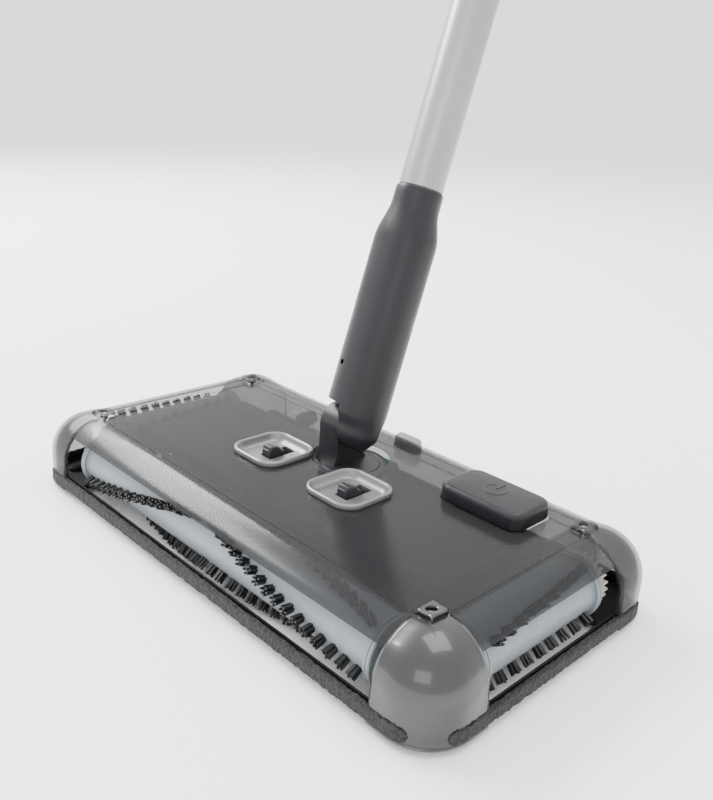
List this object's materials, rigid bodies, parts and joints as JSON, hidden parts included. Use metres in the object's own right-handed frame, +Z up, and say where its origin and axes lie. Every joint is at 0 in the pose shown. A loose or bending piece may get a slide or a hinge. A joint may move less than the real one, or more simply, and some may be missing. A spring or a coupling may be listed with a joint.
{
  "type": "carpet sweeper",
  "caption": "Low powered sweeper head with edge rollers under a smoked cover, a foot switch, bin release levers and a long leaning swivel handle.",
  "frame": {"origin": "bottom centre of the whole sweeper's box, on the floor", "axes": "+X along the head's length to the right of the person pushing, +Y from the front edge to the person, +Z up"},
  "size_m": [0.332, 0.4732, 1.1471],
  "materials": {
    "smoked_clear": "smoked see-through moulding, glossy",
    "satin_grey": "satin dark grey paint with a slight sheen",
    "black_plastic": "fine-grained black moulding",
    "bin_grey": "smooth dark grey moulding",
    "silver_plastic": "pale silver plastic",
    "grey_plastic": "satin dark grey plastic",
    "roller_core_pale": "pale blue-grey plastic",
    "bristle_dark": "dark nylon bristle",
    "gear_nylon": "natural nylon",
    "steel": "plain steel",
    "motor_can": "drawn steel can",
    "battery_wrap": "shrink-wrapped cell",
    "board_green": "green circuit board",
    "soft_rubber": "soft black rubber",
    "bumper_charcoal": "rough charcoal rubber",
    "tube_silver": "silver painted tube"
  },
  "bodies": {
    "head": {"base_chassis": "black_plastic", "battery_cell": "battery_wrap", "charge_jack": "black_plastic", "circuit_board": "board_green", "corner_cap_front_left": "satin_grey", "corner_cap_front_right": "satin_grey", "corner_cap_rear_left": "satin_grey", "corner_cap_rear_right": "satin_grey", "corner_screw_front_left": "steel", "corner_screw_front_right": "steel", "corner_screw_rear_left": "steel", "corner_screw_rear_right": "steel", "dust_bin_left": "bin_grey", "dust_bin_right": "bin_grey", "front_bumper_strip": "bumper_charcoal", "left_bumper_strip": "bumper_charcoal", "motor": "motor_can", "pedal_spring": "steel", "power_switch": "black_plastic", "rear_bumper_strip": "bumper_charcoal", "right_bumper_strip": "bumper_charcoal", "top_cover": "smoked_clear", "well_bezel_left": "silver_plastic", "well_bezel_right": "silver_plastic"},
    "front_roller": {"front_roller_core": "roller_core_pale", "front_roller_bristles": "bristle_dark", "front_roller_gear_left": "gear_nylon", "front_roller_gear_right": "gear_nylon"},
    "left_roller": {"left_roller_core": "roller_core_pale", "left_roller_bristles": "bristle_dark", "left_roller_gear": "gear_nylon"},
    "right_roller": {"right_roller_core": "roller_core_pale", "right_roller_bristles": "bristle_dark", "right_roller_gear": "gear_nylon", "drive_gear": "gear_nylon"},
    "motor_shaft": {"motor_pinion": "steel"},
    "left_lever": {"release_lever_left": "grey_plastic"},
    "right_lever": {"release_lever_right": "grey_plastic"},
    "left_door": {"dust_door_left": "black_plastic"},
    "right_door": {"dust_door_right": "black_plastic"},
    "pedal": {"foot_pedal": "grey_plastic"},
    "wheel_fl": {"wheel_front_left": "soft_rubber"},
    "wheel_fr": {"wheel_front_right": "soft_rubber"},
    "wheel_rl": {"wheel_rear_left": "soft_rubber"},
    "wheel_rr": {"wheel_rear_right": "soft_rubber"},
    "turret": {"swivel_turret": "grey_plastic", "pivot_pin": "steel"},
    "handle": {"handle_neck": "grey_plastic", "handle_tube_1": "tube_silver", "handle_tube_2": "tube_silver", "handle_tube_3": "tube_silver", "tube_coupler_1": "grey_plastic", "tube_coupler_2": "grey_plastic", "hand_grip": "soft_rubber"}
  },
  "joints": [
    {"name": "front_roller_spin", "type": "hinge", "parent": "head", "child": "front_roller", "pos_m": [0, -0.21161, 0.021], "axis": [1, 0, 0], "continuous": true},
    {"name": "left_roller_spin", "type": "hinge", "parent": "head", "child": "left_roller", "pos_m": [-0.141, -0.14861, 0.021], "axis": [0, 1, 0], "continuous": true},
    {"name": "right_roller_spin", "type": "hinge", "parent": "head", "child": "right_roller", "pos_m": [0.141, -0.14861, 0.021], "axis": [0, 1, 0], "continuous": true},
    {"name": "motor_shaft_spin", "type": "hinge", "parent": "head", "child": "motor_shaft", "pos_m": [0.1234, -0.09361, 0.021], "axis": [0, 1, 0], "continuous": true},
    {"name": "turret_swivel", "type": "hinge", "parent": "head", "child": "turret", "pos_m": [0, -0.12361, 0.04], "axis": [0, 0, 1], "range_deg": [-80, 80]},
    {"name": "handle_tilt", "type": "hinge", "parent": "turret", "child": "handle", "pos_m": [0, -0.12361, 0.062], "axis": [-1, 0, 0], "range_deg": [-17.9, 52]},
    {"name": "pedal_press", "type": "slide", "parent": "head", "child": "pedal", "axis": [0, 0, -1], "range_m": [0, 0.0035], "stiffness_N_per_m": 1500, "deforming": ["pedal_spring"]},
    {"name": "left_lever_slide", "type": "slide", "parent": "head", "child": "left_lever", "axis": [0, 1, 0], "range_m": [0, 0.006], "stiffness_N_per_m": 500},
    {"name": "right_lever_slide", "type": "slide", "parent": "head", "child": "right_lever", "axis": [0, 1, 0], "range_m": [0, 0.006], "stiffness_N_per_m": 500},
    {"name": "left_door_swing", "type": "hinge", "parent": "head", "child": "left_door", "pos_m": [-0.114, -0.14861, 0.0047], "axis": [0, 1, 0], "range_deg": [0, 75]},
    {"name": "right_door_swing", "type": "hinge", "parent": "head", "child": "right_door", "pos_m": [0.114, -0.14861, 0.0047], "axis": [0, -1, 0], "range_deg": [0, 75]},
    {"name": "wheel_fl_spin", "type": "hinge", "parent": "head", "child": "wheel_fl", "pos_m": [-0.1475, -0.21811, 0.0047], "axis": [1, 0, 0], "continuous": true},
    {"name": "wheel_fr_spin", "type": "hinge", "parent": "head", "child": "wheel_fr", "pos_m": [0.1475, -0.21811, 0.0047], "axis": [1, 0, 0], "continuous": true},
    {"name": "wheel_rl_spin", "type": "hinge", "parent": "head", "child": "wheel_rl", "pos_m": [-0.07, -0.09261, 0.0047], "axis": [1, 0, 0], "continuous": true},
    {"name": "wheel_rr_spin", "type": "hinge", "parent": "head", "child": "wheel_rr", "pos_m": [0.07, -0.09261, 0.0047], "axis": [1, 0, 0], "continuous": true}
  ],
  "couplings": [
    {"joint": "left_roller_spin", "follows": "front_roller_spin", "ratio": -1},
    {"joint": "right_roller_spin", "follows": "front_roller_spin", "ratio": 1},
    {"joint": "motor_shaft_spin", "follows": "front_roller_spin", "ratio": -3}
  ]
}
